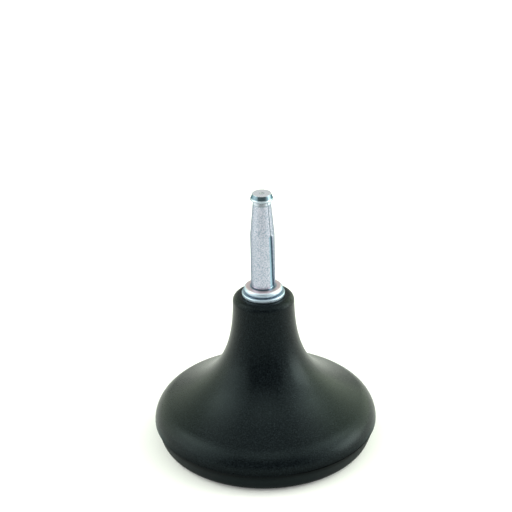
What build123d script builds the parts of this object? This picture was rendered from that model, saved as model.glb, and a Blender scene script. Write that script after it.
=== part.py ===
from build123d import *
import math
import os

# Stem glide: a bell-shaped moulded foot, with a steel pin and a grip sleeve that fit a furniture leg.
# Millimetres, +Z up. The origin is the centre of the sole, on the floor.

# Bell, outer form
base_r = 38.0           # largest radius, at the line where the mould parts
parting_z = 7.5         # height of that line above the floor
parting_step = 0.12     # how far the lower mould half stands back from the upper one there
skirt_lean = 18.6       # degrees from upright of the band below the parting line
sole_round = 4.1        # radius from that band into the sole
shoulder_round = 8.3    # radius from the parting line up into the dish
dish_slope = 24.3       # degrees from level where the dish leaves the shoulder
dish_pull = 16.4        # how far the flare is drawn along the dish before it turns up
neck_pull = 22.3        # how far it is drawn down along the neck before it turns out
neck_r = 10.3           # radius of the neck below its rounded top
neck_draft = 0.5        # degrees by which the neck widens downwards
neck_round = 2.2        # radius of the neck's top edge
bell_top = 54.5         # height of the neck's flat top

# Bell, cored underside
sole_width = 2.4        # flat ring that stands on the floor
bell_wall = 3.2         # wall between the flare and the core
core_depth = 24.0       # height of the core's flat top above the floor
core_draft = 1.0        # degrees by which the core narrows upwards
hub_r = 8.5             # radius of the hub below the pin, at the floor
rib_count = 6
rib_t = 2.4             # thickness of each rib
rib_lift = 1.0          # how far ribs and hub stay clear of the floor

# Washer
washer_r = 7.15
washer_t = 1.25
washer_edge = 0.2       # small chamfer on its outer corners
washer_clearance = 0.1  # round the spigot

# Stem pin above the bell
collar_r = 6.45
collar_t = 2.05         # the collar's rim is a half round of this thickness
head_r = 3.75           # lip at the head's foot
head_under = 0.4        # height of the slope under the lip
head_side = 0.45        # straight side of the lip
head_step = 0.2         # height of the slope from the lip in to the cone
head_cone_r = 3.5       # foot of the cone above the lip
head_cone = 1.45        # its height
head_disc_r = 3.1       # flat top of the head
dimple_r = 0.7          # centre mark in the flat top
dimple_depth = 0.35

# Grip sleeve, rolled from sheet round the pin
sleeve_r = 4.0          # straight part that the leg's socket grips
sleeve_len = 18.25      # length of that part
sleeve_wall = 0.45
foot_clearance = 0.35   # between the sleeve's foot and the collar
taper_len = 11.1        # from the straight part up to the lip
taper_top_r = 3.0
lip_len = 0.95          # turned-in end above the taper
lip_r = 2.72
sleeve_play = 0.15      # between the straight part and the pin, so that the sleeve can spring in
taper_play = 0.2        # between them where the taper ends
lip_clearance = 0.1     # between the lip and the pin
head_clearance = 0.15   # between the lip and the head
slot_turn = -48.0       # degrees about the axis from +X, where the seam of the sheet is
slot_over = 0.6         # how far the open slot runs up into the taper
slot_gap = 1.3          # its width at its top
slot_foot_gap = 1.9     # its width at the sleeve's foot
slot_lean = 1.9         # degrees by which it leans from the axis
seam_gap = 0.15         # closed seam above the slot

# Stem pin inside the bell
spigot_r = 4.0
spigot_len = 38.0       # depth in the neck
spigot_chamfer = 0.8
spigot_gap = 0.02       # between spigot and bore
groove_count = 3
groove_first = 8.0      # from the neck's top to the first groove
groove_pitch = 9.0
groove_width = 2.0
groove_depth = 0.5

# Heights and radii that follow
collar_z = bell_top + washer_t
collar_top = collar_z + collar_t
sleeve_z = collar_top + foot_clearance
taper_z = sleeve_z + sleeve_len
slot_top = taper_z + slot_over
lip_z = taper_z + taper_len
sleeve_top = lip_z + lip_len
head_z = sleeve_top + head_clearance
side_z = head_z + head_under
step_z = side_z + head_side
cone_z = step_z + head_step
stem_top = cone_z + head_cone
spigot_end = bell_top - spigot_len
pin_r = sleeve_r - sleeve_wall - sleeve_play
pin_top_r = taper_top_r - sleeve_wall - taper_play

# The band below the parting line leans inwards and turns into the sole
skirt_turn = math.radians(90 - skirt_lean)
skirt_run = (parting_z - sole_round * (1 - math.cos(skirt_turn))) / math.sin(skirt_turn)
skirt_top_r = base_r - parting_step
sole_edge_r = skirt_top_r - skirt_run * math.cos(skirt_turn) - sole_round * math.sin(skirt_turn)
mouth_r = sole_edge_r - sole_width
core_narrowing = math.tan(math.radians(core_draft))


def turn(section):
    """Turns a flat section, drawn as radius and height, about the upright axis."""
    return revolve(Plane.XZ * section, Axis.Z)


def along(degrees, length):
    """Step of a given length at an angle from level."""
    return Vector(length, 0).rotate(Axis.Z, degrees)


def flare_curve(inset):
    """Curve from the dish to the neck, drawn in from the bell's outer face by an inset."""
    shoulder = CenterArc((base_r - shoulder_round, parting_z), shoulder_round, 0, 90 - dish_slope)
    top_centre = (neck_r - neck_round, bell_top - neck_round)
    rounded_top = CenterArc(top_centre, neck_round, neck_draft, 90 - neck_draft)
    dish = (shoulder @ 1) + along(-90 - dish_slope, inset)
    neck = (rounded_top @ 0) + along(180 + neck_draft, inset)
    dish_handle = dish + along(180 - dish_slope, dish_pull)
    neck_handle = neck + along(neck_draft - 90, neck_pull)
    return shoulder, Bezier(dish, dish_handle, neck_handle, neck), rounded_top


def bell_body():
    """Solid bell: sole, rounded lower edge, skirt, shoulder, flare and neck."""
    shoulder, flare, rounded_top = flare_curve(0)
    lower_edge = CenterArc((sole_edge_r, sole_round), sole_round, -90, 90 - skirt_lean)
    skirt = Polyline(lower_edge @ 1, (skirt_top_r, parting_z), shoulder @ 0)
    closing = Polyline(rounded_top @ 1, (0, bell_top), (0, 0), lower_edge @ 0)
    return turn(make_face([lower_edge, skirt, shoulder, flare, rounded_top, closing]))


def core():
    """Hollow under the bell: a ring round the hub below the wall, cut into pockets by the ribs."""
    _, roof, _ = flare_curve(bell_wall)
    roof_edges = Polyline(roof @ 1, (0, (roof @ 1).Y), (0, 0), ((roof @ 0).X, 0), roof @ 0)
    under_roof = make_face([roof, roof_edges])
    narrowing = core_depth * core_narrowing
    ring = Polyline((hub_r, 0), (mouth_r, 0), (mouth_r - narrowing, core_depth),
                    (hub_r + narrowing, core_depth), (hub_r, 0))
    hollow = turn(make_face(ring) & under_roof)
    rib_height = core_depth - rib_lift
    for index in range(rib_count):
        rib = Pos(mouth_r / 2, 0, rib_lift + rib_height / 2) * Box(mouth_r, rib_t, rib_height)
        hollow -= Rot(0, 0, index * 360 / rib_count) * rib
    lift_r = mouth_r - rib_lift * core_narrowing
    lift = Polyline((0, 0), (mouth_r, 0), (lift_r, rib_lift), (0, rib_lift), (0, 0))
    return hollow + turn(make_face(lift))


def spigot_outline(gap):
    """Outline of the grooved spigot from the neck's top down to its end, widened by a gap."""
    outer = spigot_r + gap
    points = [(outer, bell_top)]
    for index in range(groove_count):
        top = bell_top - groove_first - index * groove_pitch
        bottom = top - groove_width
        points.append((outer, top))
        points.append((outer - groove_depth, top - groove_depth))
        points.append((outer - groove_depth, bottom + groove_depth))
        points.append((outer, bottom))
    points.append((outer, spigot_end + spigot_chamfer))
    points.append((outer - spigot_chamfer, spigot_end - gap))
    points.append((0, spigot_end - gap))
    return points


def bell_base():
    """The moulding: the body less its core and the bore that grips the spigot."""
    bore = make_face(Polyline(*spigot_outline(spigot_gap), (0, bell_top), (spigot_r + spigot_gap, bell_top)))
    return bell_body() - core() - turn(bore)


def washer():
    """Flat ring on the neck's top, with chamfered outer corners."""
    hole_r = spigot_r + washer_clearance
    rim_r = washer_r - washer_edge
    section = Polyline((hole_r, bell_top), (rim_r, bell_top), (washer_r, bell_top + washer_edge),
                       (washer_r, collar_z - washer_edge), (rim_r, collar_z), (hole_r, collar_z),
                       (hole_r, bell_top))
    return turn(make_face(section))


def stem_pin():
    """Turned pin: grooved spigot, collar with a half-round rim, core that follows the sleeve, and head."""
    rim = CenterArc((collar_r - collar_t / 2, collar_z + collar_t / 2), collar_t / 2, -90, 180)
    lower = Polyline(*reversed(spigot_outline(0)), (spigot_r, collar_z), rim @ 0)
    core_top = (pin_top_r, head_z)
    upper = Polyline(rim @ 1, (pin_r, collar_top), (pin_r, taper_z), (pin_top_r, lip_z), core_top)
    head = Polyline(core_top, (head_r, side_z), (head_r, step_z), (head_cone_r, cone_z),
                    (head_disc_r, stem_top), (dimple_r, stem_top), (0, stem_top - dimple_depth),
                    (0, spigot_end))
    return turn(make_face([lower, rim, upper, head]))


def seam_cut():
    """Cut between the edges of the rolled sheet, towards +X: a slot that widens downwards, a slit above."""
    foot_shift = (slot_top - sleeve_z) * math.tan(math.radians(slot_lean))
    outline = Polyline((seam_gap / 2, sleeve_top), (-seam_gap / 2, sleeve_top), (-seam_gap / 2, slot_top),
                       (-slot_gap / 2, slot_top), (foot_shift - slot_foot_gap / 2, sleeve_z),
                       (foot_shift + slot_foot_gap / 2, sleeve_z), (slot_gap / 2, slot_top),
                       (seam_gap / 2, slot_top), (seam_gap / 2, sleeve_top))
    return extrude(Plane.YZ * make_face(outline), 2 * sleeve_r)


def grip_sleeve():
    """Rolled sleeve round the pin, between its collar and its head."""
    section = Polyline((sleeve_r - sleeve_wall, sleeve_z), (sleeve_r, sleeve_z), (sleeve_r, taper_z),
                       (taper_top_r, lip_z), (lip_r, sleeve_top), (pin_top_r + lip_clearance, sleeve_top),
                       (taper_top_r - sleeve_wall, lip_z), (sleeve_r - sleeve_wall, taper_z),
                       (sleeve_r - sleeve_wall, sleeve_z))
    return turn(make_face(section)) - Rot(0, 0, slot_turn) * seam_cut()


os.makedirs("parts", exist_ok=True)
export_step(bell_base(), "parts/bell_base.step")
export_step(washer(), "parts/washer.step")
export_step(stem_pin(), "parts/stem_pin.step")
export_step(grip_sleeve(), "parts/grip_sleeve.step")
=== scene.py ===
import math

import bpy
import numpy as np
from mathutils import Matrix, Vector


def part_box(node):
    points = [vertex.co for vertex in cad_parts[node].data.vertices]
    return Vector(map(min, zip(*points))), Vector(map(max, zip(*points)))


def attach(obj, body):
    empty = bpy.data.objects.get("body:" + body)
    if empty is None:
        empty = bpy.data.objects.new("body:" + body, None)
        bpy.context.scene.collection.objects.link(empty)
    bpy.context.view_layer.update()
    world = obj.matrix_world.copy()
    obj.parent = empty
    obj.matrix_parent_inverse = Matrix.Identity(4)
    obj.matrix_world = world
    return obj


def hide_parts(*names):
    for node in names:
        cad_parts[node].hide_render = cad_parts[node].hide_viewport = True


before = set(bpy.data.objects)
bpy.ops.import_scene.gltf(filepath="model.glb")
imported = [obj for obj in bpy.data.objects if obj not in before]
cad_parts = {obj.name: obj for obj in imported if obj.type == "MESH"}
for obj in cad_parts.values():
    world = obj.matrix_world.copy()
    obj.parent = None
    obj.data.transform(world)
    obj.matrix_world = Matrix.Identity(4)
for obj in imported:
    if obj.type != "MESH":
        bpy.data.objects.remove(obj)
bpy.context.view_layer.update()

# Stem glide: the looks of a bell-shaped foot, its washer, its plated pin and the sleeve rolled round it.
# Metres, in the frame of the solids: +Z up along the stem, the origin at the centre of the sole.

MM = 0.001

# Camera, fitted to the outline of the bell and the stem
FRAME_PIXELS = 512
SENSOR_MM = 36.0
CAMERA_PITCH = 26.04                        # degrees down from level
CAMERA_ROLL = -1.12
CAMERA_DISTANCE = 509.3 * MM
CAMERA_TARGET_HEIGHT = 68.6 * MM
CAMERA_CLIP = (0.01, 20.0)
PIXELS_PER_MM = 3.046                       # at the camera's target
AXIS_PIXEL = 262.75                         # column where the axis stands

# Bell
BELL_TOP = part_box("bell_base")[1].z
PARTING_HEIGHT = 7.5 * MM
PARTING_LINE_HALF = 0.3 * MM                # half width of the painted shadow line under the step where the mould parts
PAINTED_SHADOW_SIDE = (-2.0 * MM, 14.0 * MM)  # the painted shadow line comes in between these, from left to right, where the step's shadow shows
PAINTED_PARTING_SHADE = 0.5                         # soft painted shade about the shadow line
PAINTED_PARTING_SHADE_REACH = 2.6 * MM
NECK_SHADE_HEIGHTS = (32.0 * MM, 40.0 * MM)       # heights between which the gloss falls, painted shade on the neck for the darker surroundings it mirrors

# Washer
WASHER_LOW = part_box("washer")[0].z
WASHER_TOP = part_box("washer")[1].z
WASHER_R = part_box("washer")[1].x
WASHER_HOLE_R = 4.1 * MM
WASHER_HOLE_ROUND = 0.1 * MM
WASHER_LOWER_ROUND = 0.25 * MM
WASHER_UPPER_ROUND = 0.35 * MM

# Stem pin
PIN_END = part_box("stem_pin")[0].z
PIN_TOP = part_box("stem_pin")[1].z
COLLAR_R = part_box("stem_pin")[1].x
COLLAR_T = 2.05 * MM
COLLAR_TOP = WASHER_TOP + COLLAR_T
PIN_R = 3.4 * MM
PIN_TOP_R = 2.35 * MM
HEAD_R = 3.75 * MM
HEAD_UNDER = 0.4 * MM
HEAD_SIDE = 0.45 * MM
HEAD_STEP = 0.2 * MM
HEAD_CONE_R = 3.5 * MM
HEAD_CONE = 1.45 * MM
HEAD_DISC_R = 3.1 * MM
HEAD_LIP_ROUND = 0.18 * MM
HEAD_CONE_ROUND = 0.12 * MM
CONE_FOOT = PIN_TOP - HEAD_CONE
DIMPLE_R = 0.7 * MM
DIMPLE_DEPTH = 0.35 * MM
DISC_EDGE_ROUND = 0.15 * MM
SPIGOT_R = 4.0 * MM
SPIGOT_CHAMFER = 0.8 * MM
GROOVE_COUNT = 3
GROOVE_FIRST = 8.0 * MM
GROOVE_PITCH = 9.0 * MM
GROOVE_WIDTH = 2.0 * MM
GROOVE_DEPTH = 0.5 * MM

# Grip sleeve
SLEEVE_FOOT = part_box("grip_sleeve")[0].z
SLEEVE_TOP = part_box("grip_sleeve")[1].z
SLEEVE_R = 4.0 * MM
SLEEVE_LEN = 18.25 * MM
SLEEVE_WALL = 0.45 * MM
TAPER_LEN = 11.1 * MM
TAPER_TOP_R = 3.0 * MM
TAPER_START = SLEEVE_FOOT + SLEEVE_LEN
TAPER_END = TAPER_START + TAPER_LEN
TAPER_START_ROUND = 14.0 * MM
TAPER_END_ROUND = 0.5 * MM
LIP_R = 2.72 * MM
LIP_CLEARANCE = 0.1 * MM
SLOT_TURN = -48.0                           # degrees about the axis from +X
SLOT_OVER = 0.6 * MM
SLOT_GAP = 1.3 * MM
SLOT_FOOT_GAP = 1.9 * MM
SLOT_LEAN = 1.9                             # degrees from the axis
SLOT_TOP = TAPER_START + SLOT_OVER
SLOT_END_ROUND = 0.3 * MM
SEAM_GAP = 0.15 * MM
SEAM_SHADE_HALF = 0.22 * MM                  # half width of the painted shade along the closed seam
SHEET_EDGE_ROUND = 0.07 * MM

# How finely the surfaces are divided
STEPS_AROUND = 256
STEP_ALONG = 0.4 * MM
ARC_STEPS = 8                               # points on the arc of an eased corner
RIM_STEPS = 24                              # points on the half round of the collar
SHEET_EDGE_STEPS = 2
HEIGHT_DIGITS = 9                           # decimal places of a metre, past which two heights are one

# Grain of every finish
GRAIN_MIDDLE = (0.3, 0.7)                   # span of the grain over which roughness changes
RELIEF_DEPTH = 0.05 * MM

# Plastic of the bell
BLACK = (0.0, 0.0, 0.0)
PLASTIC_DARK = (0.0019, 0.0030, 0.0042)
PLASTIC_PALE = (0.0092, 0.0126, 0.0156)
PLASTIC_GRAIN = 2400                        # features to the metre
PLASTIC_GRAIN_DETAIL = 1
PLASTIC_RELIEF = 0.32
PLASTIC_FLECK = (0.48, 0.72)                # span of the grain from dark to pale
PLASTIC_ROUGHNESS = (0.26, 0.34)
PLASTIC_SPECULAR = 0.12
BODY_GLOSS = (0.75, 0.97, 1.0)
PAINTED_NECK_SHADE_GLOSS = (0.49, 0.63, 0.65)
# Painted shade on the skirt below the parting line: darker colour and weaker gloss, for the shaded floor it
# mirrors next to the foot
PAINTED_SKIRT_SHADE = (0.0014, 0.0036, 0.0042)
PAINTED_SKIRT_SHADE_GLOSS = (0.29, 0.50, 0.55)
SKIRT_ROUGHNESS = 0.55

# Plated sheet of the sleeve
SHEET_DARK = (0.24, 0.29, 0.365)
SHEET_PALE = (0.50, 0.49, 0.58)
SHEET_GRAZING = (0.20, 0.24, 0.28)          # what it mirrors where it turns away from the eye
SHEET_GRAIN = 2300
SHEET_GRAIN_DETAIL = 3
SHEET_RELIEF = 0.3
SHEET_FLECK = (0.36, 0.64)
SHEET_ROUGHNESS = (0.28, 0.38)
# Painted shade in the closed seam
PAINTED_SEAM_SHADE = (0.19, 0.23, 0.28)
# Painted shade in the crease at the foot of the turned-in lip, then the lip's own tone
PAINTED_LIP_CREASE_SHADE = (0.26, 0.31, 0.36)
LIP_CREASE_SHADE_START = (TAPER_END - 0.25 * MM, TAPER_END - 0.1 * MM)
LIP_CREASE_SHADE_END = (TAPER_END + 0.05 * MM, TAPER_END + 0.2 * MM)
LIP_COLOUR = (0.42, 0.45, 0.51)
LIP_ROUGHNESS = 0.55
LIP_DULLING = (TAPER_END, TAPER_END + 0.2 * MM)

# Turned and plated steel of the washer and the pin, with the spans where one tone passes into the next
TURNED_GRAZING = (0.12, 0.15, 0.19)
TURNED_GRAIN = 900
TURNED_GRAIN_DETAIL = 2
TURNED_RELIEF = 0.1
RIM_COLOUR = (0.42, 0.50, 0.59)
RIM_ROUGHNESS = 0.46
# Painted shade round the sleeve's foot on the collar's flat, passing into the flat's pink over these radii
PAINTED_FOOT_SHADE = (0.36, 0.45, 0.53)
FLAT_OUTER_COLOUR = (0.72, 0.60, 0.66)
FOOT_SHADE_RADII = (SLEEVE_R + 0.3 * MM, SLEEVE_R + 0.6 * MM)
FLAT_START = (COLLAR_TOP - 0.12 * COLLAR_T, COLLAR_TOP - 0.02 * COLLAR_T)
CORE_COLOUR = (0.29, 0.43, 0.53)
CORE_ROUGHNESS = 0.6
CORE_METAL = 0.3
CORE_START = (COLLAR_TOP + 0.03 * MM, COLLAR_TOP + 0.1 * MM)
CORE_DULLING = (COLLAR_TOP + 0.2 * MM, COLLAR_TOP + 0.5 * MM)
HEAD_LIP_COLOUR = (0.42, 0.48, 0.55)
HEAD_LIP_ROUGHNESS = 0.3
HEAD_START = (TAPER_END, SLEEVE_TOP)
# Painted shade: the cone's dark tone stands for the dark surroundings it mirrors
PAINTED_CONE_SHADE = (0.16, 0.23, 0.28)
CONE_ROUGHNESS = 0.28
CONE_START = (CONE_FOOT - 0.1 * MM, CONE_FOOT + 0.1 * MM)
DISC_COLOUR = (0.90, 0.88, 0.97)
DISC_ROUGHNESS = 0.26
DISC_START = (PIN_TOP - 0.06 * MM, PIN_TOP - 0.01 * MM)
DISC_POLISH = (PIN_TOP - 0.2 * MM, PIN_TOP - 0.05 * MM)
MARK_COLOUR = (0.58, 0.60, 0.67)
MARK_RADII = (DIMPLE_R, 1.5 * DIMPLE_R)

# Studio
WHITE = (1.0, 1.0, 1.0)
FLOOR_HALF = 3.0
FLOOR_COLOUR = (0.8, 0.8, 0.8)
FLOOR_ROUGHNESS = 0.9
FLOOR_GLOW = (0.14, 0.8)                    # at the foot and far from it
FLOOR_GLOW_REACH = (0.4, 2.0)
ROOM_LEVEL = 0.11
CEILING_LEVEL = 0.62
CEILING_START = (0.7, 0.9)                  # upward share of a direction from the foot
WALL_LEVEL = 0.9
WALL_COLOUR = (0.94, 1.0, 0.90)
WALL_START = (0.1, 0.6)                     # backward share of a direction from the foot
WALL_END = (0.5, 0.7)                       # upward share
LAMP_TARGET_HEIGHT = 40 * MM
LAMP_COLOUR = (0.96, 1.0, 0.92)
BACK_LAMP_COLOUR = (0.82, 1.0, 0.66)

# Lamps: name, compass angle from the camera's side, angle above level, distance, size, watts and colour
LAMPS = [
    ("left_wide_lamp", -75, 30, 1.0, 1.0, 6.8, LAMP_COLOUR),
    ("right_wide_lamp", 75, 30, 1.0, 1.0, 5.5, LAMP_COLOUR),
    ("left_lamp", -95, 20, 0.9, 0.75, 2.1, LAMP_COLOUR),
    ("right_lamp", 95, 24, 0.9, 0.75, 1.6, LAMP_COLOUR),
    ("right_low_lamp", 90, 9, 0.8, 0.45, 3.4, LAMP_COLOUR),
    ("left_high_lamp", -95, 48, 0.8, 0.5, 1.25, LAMP_COLOUR),
    ("right_high_lamp", 95, 48, 0.8, 0.5, 1.4, LAMP_COLOUR),
    ("left_back_lamp", -128, 24, 0.9, 0.9, 2.3, BACK_LAMP_COLOUR),
    ("right_back_lamp", 128, 26, 0.9, 0.9, 4.1, BACK_LAMP_COLOUR),
    ("front_lamp", 0, 60, 0.8, 0.6, 1.3, LAMP_COLOUR),
]


# Turned and rolled surfaces

def rounded(points, radii):
    """Outline through the given corners, each eased by an arc of its own radius.

    The arc's centre lies on the line that halves the corner's angle, at the radius over the sine of half
    that angle. Its points turn evenly about the centre between the two places where it meets the sides."""
    points = np.asarray(points, float)
    share = np.linspace(0, 1, ARC_STEPS)[:, None]
    outline = [points[:1]]
    for before, corner, after, radius in zip(points[:-2], points[1:-1], points[2:], radii):
        back = (before - corner) / np.linalg.norm(before - corner)
        ahead = (after - corner) / np.linalg.norm(after - corner)
        half = np.arccos(back @ ahead) / 2
        centre = corner + (back + ahead) / np.linalg.norm(back + ahead) * radius / np.sin(half)
        start = corner + back * radius / np.tan(half) - centre
        end = corner + ahead * radius / np.tan(half) - centre
        sweep = np.pi - 2 * half
        turn = np.sin((1 - share) * sweep) * start + np.sin(share * sweep) * end
        outline.append(centre + turn / np.sin(sweep))
    outline.append(points[-1:])
    return np.concatenate(outline)


def arc_points(centre, radius, start, end, steps):
    """Points on an arc: its centre plus the radius times cosine and sine of evenly spaced degrees."""
    angle = np.radians(np.linspace(start, end, steps))
    return np.column_stack([centre[0] + radius * np.cos(angle), centre[1] + radius * np.sin(angle)])


def divided(outline):
    """The same outline with more points, so that no step along it is longer than the named one."""
    step = np.linalg.norm(np.diff(outline, axis=0), axis=1)
    run = np.concatenate([[0], np.cumsum(step)])
    counts = np.maximum(1, np.ceil(step / STEP_ALONG).astype(int))
    stretches = zip(run[:-1], run[1:], counts)
    places = [np.linspace(start, end, count, endpoint=False) for start, end, count in stretches]
    places = np.append(np.concatenate(places), run[-1])
    return np.column_stack([np.interp(places, run, outline[:, 0]), np.interp(places, run, outline[:, 1])])


def new_piece(name, points, faces):
    """Mesh object at the origin, smoothly shaded."""
    mesh = bpy.data.meshes.new(name)
    mesh.from_pydata(points.tolist(), [], faces)
    mesh.shade_smooth()
    piece = bpy.data.objects.new(name, mesh)
    bpy.context.scene.collection.objects.link(piece)
    return piece


def strip(near, far):
    """Quads between two rows, or two stacks of rows, of point numbers of the same length."""
    quads = np.stack([near[..., :-1], near[..., 1:], far[..., 1:], far[..., :-1]], axis=-1)
    return quads.reshape(-1, 4).tolist()


def turned(name, outline, closes_on_itself):
    """Surface turned about the upright axis.

    A point at share s along the outline and angle a round the axis is (r(s) cos a, r(s) sin a, z(s)).
    The outline runs with the metal on its left. A ring's outline closes on itself. Any other starts and
    ends on the axis, where the surface closes in a fan of triangles."""
    rows = outline[:-1] if closes_on_itself else outline[1:-1]
    angle = np.linspace(0, 2 * np.pi, STEPS_AROUND, endpoint=False)
    points = np.empty((len(rows), STEPS_AROUND, 3))
    points[..., 0] = rows[:, :1] * np.cos(angle)
    points[..., 1] = rows[:, :1] * np.sin(angle)
    points[..., 2] = rows[:, 1:]
    points = points.reshape(-1, 3)
    index = np.arange(len(points)).reshape(len(rows), STEPS_AROUND)
    index = np.column_stack([index, index[:, 0]])
    if closes_on_itself:
        return new_piece(name, points, strip(index, np.roll(index, -1, axis=0)))
    first_pole, last_pole = len(points), len(points) + 1
    points = np.vstack([points, [0, 0, outline[0, 1]], [0, 0, outline[-1, 1]]])
    first, last = index[0], index[-1]
    first_fan = np.column_stack([np.full(STEPS_AROUND, first_pole), first[1:], first[:-1]]).tolist()
    last_fan = np.column_stack([np.full(STEPS_AROUND, last_pole), last[:-1], last[1:]]).tolist()
    return new_piece(name, points, strip(index[:-1], index[1:]) + first_fan + last_fan)


def washer_ring():
    """Flat ring whose outline is a box with eased corners, carried round the axis."""
    middle = (WASHER_HOLE_R, (WASHER_LOW + WASHER_TOP) / 2)
    corners = [middle, (WASHER_HOLE_R, WASHER_LOW), (WASHER_R, WASHER_LOW), (WASHER_R, WASHER_TOP),
               (WASHER_HOLE_R, WASHER_TOP), middle]
    radii = [WASHER_HOLE_ROUND, WASHER_LOWER_ROUND, WASHER_UPPER_ROUND, WASHER_HOLE_ROUND]
    piece = turned("washer_ring", divided(rounded(corners, radii)), True)
    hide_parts("washer")
    return piece


def pin_outline():
    """Outline of the pin from the spigot's end to the head's centre mark.

    Straight runs for the spigot, for the core that follows the sleeve and for the coned head with its lip,
    and a half round for the collar's rim."""
    grooves = []
    for top in BELL_TOP - GROOVE_FIRST - GROOVE_PITCH * np.arange(GROOVE_COUNT)[::-1]:
        bottom = top - GROOVE_WIDTH
        grooves += [(SPIGOT_R, bottom), (SPIGOT_R - GROOVE_DEPTH, bottom + GROOVE_DEPTH)]
        grooves += [(SPIGOT_R - GROOVE_DEPTH, top - GROOVE_DEPTH), (SPIGOT_R, top)]
    spigot = [(0, PIN_END), (SPIGOT_R - SPIGOT_CHAMFER, PIN_END), (SPIGOT_R, PIN_END + SPIGOT_CHAMFER)]
    spigot += grooves + [(SPIGOT_R, WASHER_TOP)]
    half = COLLAR_T / 2
    rim = arc_points((COLLAR_R - half, WASHER_TOP + half), half, -90, 90, RIM_STEPS)
    core = [(PIN_R, COLLAR_TOP), (PIN_R, TAPER_START), (PIN_TOP_R, TAPER_END)]
    step_z = CONE_FOOT - HEAD_STEP
    side_z = step_z - HEAD_SIDE
    corners = [(PIN_TOP_R, side_z - HEAD_UNDER), (HEAD_R, side_z), (HEAD_R, step_z),
               (HEAD_CONE_R, CONE_FOOT), (HEAD_DISC_R, PIN_TOP), (DIMPLE_R, PIN_TOP),
               (0, PIN_TOP - DIMPLE_DEPTH)]
    radii = [HEAD_LIP_ROUND, HEAD_LIP_ROUND, HEAD_CONE_ROUND, DISC_EDGE_ROUND, DISC_EDGE_ROUND]
    return np.concatenate([spigot, rim, core, rounded(corners, radii)])


def turned_pin():
    """The pin's outline carried round the axis."""
    piece = turned("turned_pin", divided(pin_outline()), False)
    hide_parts("stem_pin")
    return piece


def seam_edges(height):
    """How far the sheet's two edges lie to each side of the seam's meridian, at an array of heights.

    Below the slot's top the edges are straight lines that lean and spread downwards. Within the end's
    rounding they close along a quarter ellipse, and above it they stand half the seam's gap apart."""
    below = np.clip(SLOT_TOP - height, 0, None)
    spread = below / (SLOT_TOP - SLEEVE_FOOT)
    middle = below * math.tan(math.radians(SLOT_LEAN))
    half_slot = (SLOT_GAP + (SLOT_FOOT_GAP - SLOT_GAP) * spread) / 2
    near_end = np.clip(1 - below / SLOT_END_ROUND, 0, 1)
    half = SEAM_GAP / 2 + (half_slot - SEAM_GAP / 2) * np.sqrt(1 - near_end ** 2)
    return middle - half, middle + half


def rolled_sleeve():
    """Sheet rolled round the pin, open along its seam.

    Outer and inner radius are functions of height. A point at height z and angle a is
    (r(z) cos a, r(z) sin a, z). The angles run from one edge of the sheet round to the other, an edge
    being the seam's own angle plus the arc sine of the edge's distance over the radius. Foot, lip and the
    two cut edges join the outer and inner faces."""
    corners = [(SLEEVE_R, SLEEVE_FOOT), (SLEEVE_R, TAPER_START), (TAPER_TOP_R, TAPER_END),
               (LIP_R, SLEEVE_TOP)]
    outer = rounded(corners, [TAPER_START_ROUND, TAPER_END_ROUND])
    inner = np.array([(SLEEVE_R - SLEEVE_WALL, SLEEVE_FOOT), (SLEEVE_R - SLEEVE_WALL, TAPER_START),
                      (TAPER_TOP_R - SLEEVE_WALL, TAPER_END), (PIN_TOP_R + LIP_CLEARANCE, SLEEVE_TOP)])
    slot_end = SLOT_TOP - SLOT_END_ROUND * np.linspace(0, 1, ARC_STEPS) ** 2
    height = np.unique(np.concatenate([divided(outer)[:, 1], slot_end]).round(HEIGHT_DIGITS))
    outer_r = np.interp(height, outer[:, 1], outer[:, 0])
    inner_r = np.interp(height, inner[:, 1], inner[:, 0])
    radius = np.stack([outer_r, inner_r])
    left, right = seam_edges(height)
    seam = math.radians(SLOT_TURN)
    start = seam + np.arcsin(right / radius)
    end = seam + 2 * np.pi + np.arcsin(left / radius)
    angle = np.empty(radius.shape + (STEPS_AROUND,))
    angle[..., 0] = start
    angle[..., 1:-1] = np.linspace(start.max(), end.min(), STEPS_AROUND)[1:-1]
    angle[..., -1] = end
    points = np.empty(angle.shape + (3,))
    points[..., 0] = radius[..., None] * np.cos(angle)
    points[..., 1] = radius[..., None] * np.sin(angle)
    points[..., 2] = height[:, None]
    outside, inside = np.arange(angle.size).reshape(angle.shape)
    faces = strip(outside[:-1], outside[1:]) + strip(inside[1:], inside[:-1])
    faces += strip(inside[0], outside[0]) + strip(outside[-1], inside[-1])
    faces += strip(outside[:, 0], inside[:, 0]) + strip(inside[:, -1], outside[:, -1])
    piece = new_piece("rolled_sleeve", points.reshape(-1, 3), faces)
    edges = piece.modifiers.new("eased_edges", "BEVEL")
    edges.width = SHEET_EDGE_ROUND
    edges.segments = SHEET_EDGE_STEPS
    edges.limit_method = "ANGLE"
    edges.harden_normals = True
    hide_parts("grip_sleeve")
    return piece


# Nodes that the finishes and the studio share

def feed(tree, value, socket):
    """Gives a socket another node's output, a colour or a number, which is a grey where a colour is due."""
    if isinstance(value, bpy.types.NodeSocket):
        tree.links.new(value, socket)
    elif isinstance(value, tuple):
        socket.default_value = (*value, 1)
    elif socket.type == "RGBA":
        socket.default_value = (value, value, value, 1)
    else:
        socket.default_value = value


def material(name):
    """New material with its node tree and its main shader."""
    made = bpy.data.materials.new(name)
    made.use_nodes = True
    return made, made.node_tree, made.node_tree.nodes["Principled BSDF"]


def own_place(tree):
    """Coordinates of the piece itself."""
    return tree.nodes.new("ShaderNodeTexCoord").outputs["Object"]


def split(tree, place):
    """The three parts of a place, by the names X, Y and Z."""
    parts = tree.nodes.new("ShaderNodeSeparateXYZ")
    feed(tree, place, parts.inputs["Vector"])
    return parts.outputs


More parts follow.
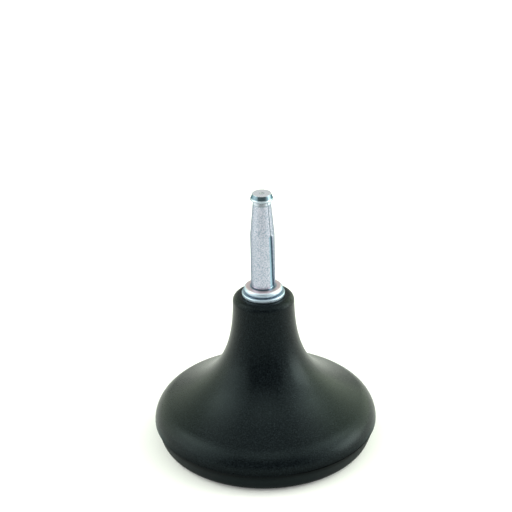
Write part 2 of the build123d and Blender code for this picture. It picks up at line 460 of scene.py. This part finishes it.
def worked(tree, operation, *values):
    """Result of one sum on up to three values."""
    step = tree.nodes.new("ShaderNodeMath")
    step.operation = operation
    for value, socket in zip(values, step.inputs):
        feed(tree, value, socket)
    return step.outputs["Value"]


def from_axis(tree, place):
    """Distance of a place from the upright axis: its length once its height is left out."""
    level = tree.nodes.new("ShaderNodeVectorMath")
    level.operation = "MULTIPLY"
    level.inputs[1].default_value = (1, 1, 0)
    feed(tree, place, level.inputs[0])
    length = tree.nodes.new("ShaderNodeVectorMath")
    length.operation = "LENGTH"
    feed(tree, level.outputs["Vector"], length.inputs[0])
    return length.outputs["Value"]


def noise(tree, place, scale, detail):
    """Noise with so many features to the metre."""
    texture = tree.nodes.new("ShaderNodeTexNoise")
    texture.inputs["Scale"].default_value = scale
    texture.inputs["Detail"].default_value = detail
    feed(tree, place, texture.inputs["Vector"])
    return texture.outputs["Fac"]


def remapped(tree, value, span, result=(0, 1)):
    """A value carried from one span to another, and held at its ends."""
    ranged = tree.nodes.new("ShaderNodeMapRange")
    ranged.inputs["From Min"].default_value = span[0]
    ranged.inputs["From Max"].default_value = span[1]
    ranged.inputs["To Min"].default_value = result[0]
    ranged.inputs["To Max"].default_value = result[1]
    feed(tree, value, ranged.inputs["Value"])
    return ranged.outputs["Result"]


def mixed(tree, share, first, second):
    """Colour or grey between two, by a share."""
    mix = tree.nodes.new("ShaderNodeMixRGB")
    feed(tree, share, mix.inputs["Fac"])
    feed(tree, first, mix.inputs["Color1"])
    feed(tree, second, mix.inputs["Color2"])
    return mix.outputs["Color"]


def banded(tree, height, lowest, bands):
    """Colour or grey that changes with height: within its span each one passes into the next."""
    colour = lowest
    for span, above in bands:
        colour = mixed(tree, remapped(tree, height, span), colour, above)
    return colour


def relief(tree, shader, height, strength):
    """Bump on the main shader."""
    bump = tree.nodes.new("ShaderNodeBump")
    bump.inputs["Strength"].default_value = strength
    bump.inputs["Distance"].default_value = RELIEF_DEPTH
    feed(tree, height, bump.inputs["Height"])
    feed(tree, bump.outputs["Normal"], shader.inputs["Normal"])


# Finishes

def painted_parting_shade(tree, parts):
    """How much painted shade darkens the plastic about the height where the mould parts, from 0 to 1.

    A soft painted shade falls evenly to nothing at its reach above and below. A painted shadow line under
    the parting step is one about the parting height and none at its half width, times a share that grows
    from the left of the front to the right, where the step's shadow shows. The darker of the two holds."""
    away = worked(tree, "ABSOLUTE", worked(tree, "SUBTRACT", parts["Z"], PARTING_HEIGHT))
    near = remapped(tree, away, (PARTING_LINE_HALF / 2, PARTING_LINE_HALF), (1, 0))
    painted_step_shadow = worked(tree, "MULTIPLY", near, remapped(tree, parts["X"], PAINTED_SHADOW_SIDE))
    shade = remapped(tree, away, (0, PAINTED_PARTING_SHADE_REACH), (PAINTED_PARTING_SHADE, 0))
    return worked(tree, "MAXIMUM", painted_step_shadow, shade)


def satin_black_plastic():
    """Moulded black plastic with a fine spark-eroded grain.

    A painted shadow line under the parting step and a soft painted shade lie where the mould parts. The
    skirt below them is darker and duller than the body, and the neck shines less than the body does; both
    are painted shade for darker surroundings mirrored there."""
    made, tree, shader = material("satin_black_plastic")
    place = own_place(tree)
    parts = split(tree, place)
    grain = noise(tree, place, PLASTIC_GRAIN, PLASTIC_GRAIN_DETAIL)
    relief(tree, shader, grain, PLASTIC_RELIEF)
    above_skirt = remapped(tree, parts["Z"], (PARTING_HEIGHT - PARTING_LINE_HALF, PARTING_HEIGHT))
    flecked = mixed(tree, remapped(tree, grain, PLASTIC_FLECK), PLASTIC_DARK, PLASTIC_PALE)
    # Painted shade on the skirt: a darker colour below the parting line
    colour = mixed(tree, above_skirt, PAINTED_SKIRT_SHADE, flecked)
    # Painted shade on the neck: its gloss falls with height; the skirt's gloss below takes painted shade
    # too
    gloss_with_neck_shade = mixed(tree, remapped(tree, parts["Z"], NECK_SHADE_HEIGHTS), BODY_GLOSS, PAINTED_NECK_SHADE_GLOSS)
    gloss = mixed(tree, above_skirt, PAINTED_SKIRT_SHADE_GLOSS, gloss_with_neck_shade)
    satin = remapped(tree, grain, GRAIN_MIDDLE, PLASTIC_ROUGHNESS)
    # Painted shadow line under the parting step and soft painted shade about it, as a share from 0 to 1
    line = painted_parting_shade(tree, parts)
    feed(tree, mixed(tree, line, colour, BLACK), shader.inputs["Base Color"])
    feed(tree, mixed(tree, line, gloss, BLACK), shader.inputs["Specular Tint"])
    feed(tree, mixed(tree, above_skirt, SKIRT_ROUGHNESS, satin), shader.inputs["Roughness"])
    feed(tree, line, shader.inputs["Metallic"])
    feed(tree, PLASTIC_SPECULAR, shader.inputs["Specular IOR Level"])
    return made


def painted_seam_shade(tree, place):
    """How much painted shade darkens the sheet along its closed seam, from 0 to 1.

    The coordinates are turned about the axis until the seam lies towards +X. The painted shade is one
    within half of its half width of that plane and none beyond its half width, on the seam's side of the
    axis."""
    turn = tree.nodes.new("ShaderNodeVectorRotate")
    turn.rotation_type = "Z_AXIS"
    turn.inputs["Angle"].default_value = -math.radians(SLOT_TURN)
    feed(tree, place, turn.inputs["Vector"])
    parts = split(tree, turn.outputs["Vector"])
    aside = worked(tree, "ABSOLUTE", parts["Y"])
    near = remapped(tree, aside, (SEAM_SHADE_HALF / 2, SEAM_SHADE_HALF), (1, 0))
    return worked(tree, "MULTIPLY", near, remapped(tree, parts["X"], (0, SEAM_SHADE_HALF)))


def satin_zinc():
    """Rolled sheet, zinc plated: a satin metal with fine flecks.

    It is bluish where dark and faintly pink where pale. Painted shade runs along the closed seam, and a
    finer line of painted shade round the crease at the foot of the turned-in lip. The lip has no flecks and
    is duller than the rest."""
    made, tree, shader = material("satin_zinc")
    place = own_place(tree)
    height = split(tree, place)["Z"]
    grain = noise(tree, place, SHEET_GRAIN, SHEET_GRAIN_DETAIL)
    relief(tree, shader, grain, SHEET_RELIEF)
    flecked = mixed(tree, remapped(tree, grain, SHEET_FLECK), SHEET_DARK, SHEET_PALE)
    # Painted shade in the crease at the lip's foot, passing into the lip
    bands = [(LIP_CREASE_SHADE_START, PAINTED_LIP_CREASE_SHADE), (LIP_CREASE_SHADE_END, LIP_COLOUR)]
    sheet = banded(tree, height, flecked, bands)
    satin = remapped(tree, grain, GRAIN_MIDDLE, SHEET_ROUGHNESS)
    dulled = banded(tree, height, satin, [(LIP_DULLING, LIP_ROUGHNESS)])
    # Painted shade along the closed seam
    feed(tree, mixed(tree, painted_seam_shade(tree, place), sheet, PAINTED_SEAM_SHADE), shader.inputs["Base Color"])
    feed(tree, dulled, shader.inputs["Roughness"])
    feed(tree, 1.0, shader.inputs["Metallic"])
    feed(tree, SHEET_GRAZING, shader.inputs["Specular Tint"])
    return made


def bright_zinc():
    """Turned steel, bright zinc plated.

    Bluish metal, faintly pink on the collar's flat outside a ring of painted shade round the sleeve's foot,
    dull on the core inside the sleeve, and darker on the cone of the head, between its lip and its pale
    disc, where the dark tone is painted shade for the dark surroundings the cone mirrors. The centre mark
    in the disc is a little darker than the disc."""
    made, tree, shader = material("bright_zinc")
    place = own_place(tree)
    height = split(tree, place)["Z"]
    radius = from_axis(tree, place)
    relief(tree, shader, noise(tree, place, TURNED_GRAIN, TURNED_GRAIN_DETAIL), TURNED_RELIEF)
    # Painted shade round the sleeve's foot, passing into the pink flat
    flat = mixed(tree, remapped(tree, radius, FOOT_SHADE_RADII), PAINTED_FOOT_SHADE, FLAT_OUTER_COLOUR)
    # The cone's dark tone among these is painted shade
    colours = [(FLAT_START, flat), (CORE_START, CORE_COLOUR), (HEAD_START, HEAD_LIP_COLOUR),
               (CONE_START, PAINTED_CONE_SHADE), (DISC_START, DISC_COLOUR)]
    roughness = [(CORE_DULLING, CORE_ROUGHNESS), (HEAD_START, HEAD_LIP_ROUGHNESS),
                 (CONE_START, CONE_ROUGHNESS), (DISC_POLISH, DISC_ROUGHNESS)]
    metal = [(CORE_DULLING, CORE_METAL), (HEAD_START, 1.0)]
    mark = remapped(tree, radius, MARK_RADII, (1, 0))
    colour = mixed(tree, mark, banded(tree, height, RIM_COLOUR, colours), MARK_COLOUR)
    feed(tree, colour, shader.inputs["Base Color"])
    feed(tree, banded(tree, height, RIM_ROUGHNESS, roughness), shader.inputs["Roughness"])
    feed(tree, banded(tree, height, 1.0, metal), shader.inputs["Metallic"])
    feed(tree, TURNED_GRAZING, shader.inputs["Specular Tint"])
    return made


# Studio

def studio_floor():
    """Wide white sheet under the foot, which shows white to the camera, to mirrors and through glass.

    What it shows them beyond its own colour grows with the distance from the foot, because less light
    falls there."""
    mesh = bpy.data.meshes.new("studio_floor")
    corners = [(-FLOOR_HALF, -FLOOR_HALF, 0), (FLOOR_HALF, -FLOOR_HALF, 0), (FLOOR_HALF, FLOOR_HALF, 0),
               (-FLOOR_HALF, FLOOR_HALF, 0)]
    mesh.from_pydata(corners, [], [(0, 1, 2, 3)])
    floor = bpy.data.objects.new("studio_floor", mesh)
    bpy.context.scene.collection.objects.link(floor)
    made, tree, shader = material("white_sheet")
    path = tree.nodes.new("ShaderNodeLightPath").outputs
    straight = worked(tree, "MAXIMUM", path["Is Camera Ray"], path["Is Glossy Ray"])
    shown = worked(tree, "MAXIMUM", straight, path["Is Transmission Ray"])
    glow = remapped(tree, from_axis(tree, own_place(tree)), FLOOR_GLOW_REACH, FLOOR_GLOW)
    feed(tree, worked(tree, "MULTIPLY", shown, glow), shader.inputs["Emission Strength"])
    feed(tree, WHITE, shader.inputs["Emission Color"])
    feed(tree, FLOOR_COLOUR, shader.inputs["Base Color"])
    feed(tree, FLOOR_ROUGHNESS, shader.inputs["Roughness"])
    feed(tree, 0.0, shader.inputs["Specular IOR Level"])
    mesh.materials.append(made)


def studio_world():
    """Dim room with a pale ceiling and a wall behind the foot, and plain white where the camera sees it.

    Its light is faintly green."""
    world = bpy.data.worlds.new("studio_world")
    bpy.context.scene.world = world
    world.use_nodes = True
    tree = world.node_tree
    background = tree.nodes["Background"]
    parts = split(tree, tree.nodes.new("ShaderNodeTexCoord").outputs["Generated"])
    behind = remapped(tree, parts["Y"], WALL_START, (0, WALL_LEVEL))
    below = remapped(tree, parts["Z"], WALL_END, (1, 0))
    ceiling = remapped(tree, parts["Z"], CEILING_START, (ROOM_LEVEL, ROOM_LEVEL + CEILING_LEVEL))
    room = worked(tree, "MULTIPLY_ADD", behind, below, ceiling)
    seen = tree.nodes.new("ShaderNodeLightPath").outputs["Is Camera Ray"]
    feed(tree, worked(tree, "MAXIMUM", seen, room), background.inputs["Strength"])
    feed(tree, mixed(tree, seen, WALL_COLOUR, WHITE), background.inputs["Color"])


def soft_lamp(name, azimuth, elevation, distance, size, watts, colour):
    """Square lamp aimed at the middle of the foot, from a compass angle and an angle above level."""
    around, up = math.radians(azimuth), math.radians(elevation)
    back = Vector((math.sin(around) * math.cos(up), -math.cos(around) * math.cos(up), math.sin(up)))
    lamp = bpy.data.lights.new(name, "AREA")
    lamp.shape = "SQUARE"
    lamp.size = size
    lamp.energy = watts
    lamp.color = colour
    holder = bpy.data.objects.new(name, lamp)
    holder.location = Vector((0, 0, LAMP_TARGET_HEIGHT)) + back * distance
    holder.rotation_mode = "QUATERNION"
    holder.rotation_quaternion = back.to_track_quat("Z", "Y")
    bpy.context.scene.collection.objects.link(holder)


def studio_lamps():
    """Wide lamps beside the front, smaller ones beside the foot, greener ones behind and one above."""
    for lamp in LAMPS:
        soft_lamp(*lamp)


def studio_camera():
    """Camera that looks down at the stem's axis, moved sideways to put it where the photograph has it."""
    pitch = math.radians(CAMERA_PITCH)
    ahead = Vector((0, math.cos(pitch), -math.sin(pitch)))
    aside = (FRAME_PIXELS / 2 - AXIS_PIXEL) / PIXELS_PER_MM * MM
    data = bpy.data.cameras.new("studio_camera")
    data.sensor_width = SENSOR_MM
    data.lens = PIXELS_PER_MM / MM * CAMERA_DISTANCE / FRAME_PIXELS * SENSOR_MM
    data.clip_start = CAMERA_CLIP[0]
    data.clip_end = CAMERA_CLIP[1]
    holder = bpy.data.objects.new("studio_camera", data)
    holder.location = Vector((aside, 0, CAMERA_TARGET_HEIGHT)) - ahead * CAMERA_DISTANCE
    roll = Matrix.Rotation(math.radians(CAMERA_ROLL), 3, "Z")
    holder.rotation_mode = "QUATERNION"
    holder.rotation_quaternion = (ahead.to_track_quat("-Z", "Y").to_matrix() @ roll).to_quaternion()
    bpy.context.scene.collection.objects.link(holder)
    bpy.context.scene.camera = holder


def dress(piece, finish):
    """Gives every face of a piece one finish."""
    piece.data.materials.clear()
    piece.data.materials.append(finish)


dress(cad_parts["bell_base"], satin_black_plastic())
bright = bright_zinc()
for piece, finish in ((washer_ring(), bright), (turned_pin(), bright), (rolled_sleeve(), satin_zinc())):
    dress(piece, finish)
    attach(piece, "root")
studio_floor()
studio_world()
studio_lamps()
studio_camera()
bpy.context.scene.view_settings.view_transform = "Standard"
